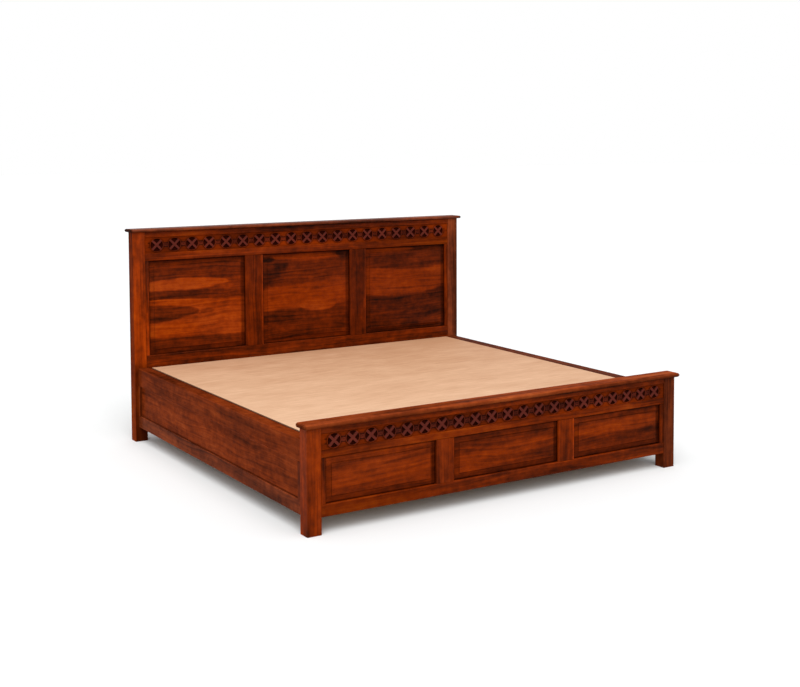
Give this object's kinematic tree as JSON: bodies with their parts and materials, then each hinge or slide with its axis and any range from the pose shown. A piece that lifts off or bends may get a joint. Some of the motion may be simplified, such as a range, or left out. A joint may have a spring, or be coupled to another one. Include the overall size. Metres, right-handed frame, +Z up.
{
  "type": "storage bed",
  "caption": "King storage bed in solid timber with a panelled headboard and footboard, pierced fretwork bands and a plywood deck that lifts on gas struts over one box.",
  "frame": {"origin": "on the floor under the middle of the bed's whole outline, caps included", "axes": "+X across the bed to the right seen from the foot, +Y from the foot to the headboard, +Z up"},
  "size_m": [1.962, 1.984, 1.075],
  "materials": {
    "sheesham_frame": "high gloss lacquer over reddish brown stain",
    "sheesham_panel": "high gloss lacquer, strongly figured",
    "sheesham_fret": "gloss lacquer on carved fretwork",
    "fret_backing": "dark stain, matt",
    "plywood_deck": "sanded bare plywood",
    "plywood_box": "bare plywood",
    "box_timber": "planed bare timber",
    "black_steel": "black powder coat",
    "strut_paint": "smooth black paint",
    "chrome_rod": "polished",
    "zinc_steel": "bright zinc plate"
  },
  "bodies": {
    "bed": {"head_post_left": "sheesham_frame", "head_post_right": "sheesham_frame", "head_cap": "sheesham_frame", "head_top_rail": "sheesham_frame", "head_fret_strip": "sheesham_fret", "head_fret_backing": "fret_backing", "head_mid_rail": "sheesham_frame", "head_mullion_left": "sheesham_frame", "head_mullion_right": "sheesham_frame", "head_stiles": "sheesham_frame", "head_panel_left": "sheesham_panel", "head_panel_centre": "sheesham_panel", "head_panel_right": "sheesham_panel", "head_bottom_rail": "sheesham_frame", "head_base_panel": "plywood_box", "head_base_rail": "sheesham_frame", "foot_post_left": "sheesham_frame", "foot_post_right": "sheesham_frame", "foot_cap": "sheesham_frame", "foot_top_rail": "sheesham_frame", "foot_fret_strip": "sheesham_fret", "foot_fret_backing": "fret_backing", "foot_mid_rail": "sheesham_frame", "foot_mullion_left": "sheesham_frame", "foot_mullion_right": "sheesham_frame", "foot_stiles": "sheesham_frame", "foot_panel_left": "sheesham_panel", "foot_panel_centre": "sheesham_panel", "foot_panel_right": "sheesham_panel", "foot_bottom_rail": "sheesham_frame", "side_top_rail_left": "sheesham_frame", "side_top_rail_right": "sheesham_frame", "side_bottom_rail_left": "sheesham_frame", "side_bottom_rail_right": "sheesham_frame", "side_panel_left": "sheesham_panel", "side_panel_right": "sheesham_panel", "side_stiles_left": "sheesham_frame", "side_stiles_right": "sheesham_frame", "bed_bolts": "zinc_steel", "box_floor": "plywood_box", "floor_cleats": "box_timber", "centre_beam": "box_timber", "centre_legs": "box_timber", "lift_uprights": "box_timber", "deck_ledgers": "box_timber", "lift_base_left": "black_steel", "lift_base_right": "black_steel", "lift_screws": "zinc_steel", "pivot_pins": "zinc_steel", "strut_lower_pins": "zinc_steel"},
    "deck": {"deck_board": "plywood_deck", "deck_side_tubes": "black_steel", "deck_cross_tubes": "black_steel", "lift_arm_left": "black_steel", "lift_arm_right": "black_steel", "strut_upper_studs": "zinc_steel"},
    "strut_cylinder_left": {"strut_tube_left": "strut_paint"},
    "strut_cylinder_right": {"strut_tube_right": "strut_paint"},
    "strut_piston_left": {"strut_rod_left": "chrome_rod"},
    "strut_piston_right": {"strut_rod_right": "chrome_rod"}
  },
  "joints": [
    {"name": "deck_lift", "type": "hinge", "parent": "bed", "child": "deck", "pos_m": [0, 0.609, 0.3], "axis": [-1, 0, 0], "range_deg": [0, 40]},
    {"name": "strut_swing_left", "type": "hinge", "parent": "bed", "child": "strut_cylinder_left", "pos_m": [-0.863, 0.589, 0.13], "axis": [-1, 0, 0], "range_deg": [0, 30.72]},
    {"name": "strut_swing_right", "type": "hinge", "parent": "bed", "child": "strut_cylinder_right", "pos_m": [0.863, 0.589, 0.13], "axis": [-1, 0, 0], "range_deg": [0, 30.72]},
    {"name": "strut_slide_left", "type": "slide", "parent": "strut_cylinder_left", "child": "strut_piston_left", "axis": [0, -0.9062, 0.4229], "range_m": [0, 0.1015]},
    {"name": "strut_slide_right", "type": "slide", "parent": "strut_cylinder_right", "child": "strut_piston_right", "axis": [0, -0.9062, 0.4229], "range_m": [0, 0.1015]}
  ],
  "couplings": [
    {"joint": "strut_swing_left", "follows": "deck_lift", "ratio": 0.7679},
    {"joint": "strut_swing_right", "follows": "deck_lift", "ratio": 0.7679},
    {"joint": "strut_slide_left", "follows": "deck_lift", "m_per_rad": 0.14534},
    {"joint": "strut_slide_right", "follows": "deck_lift", "m_per_rad": 0.14534}
  ]
}
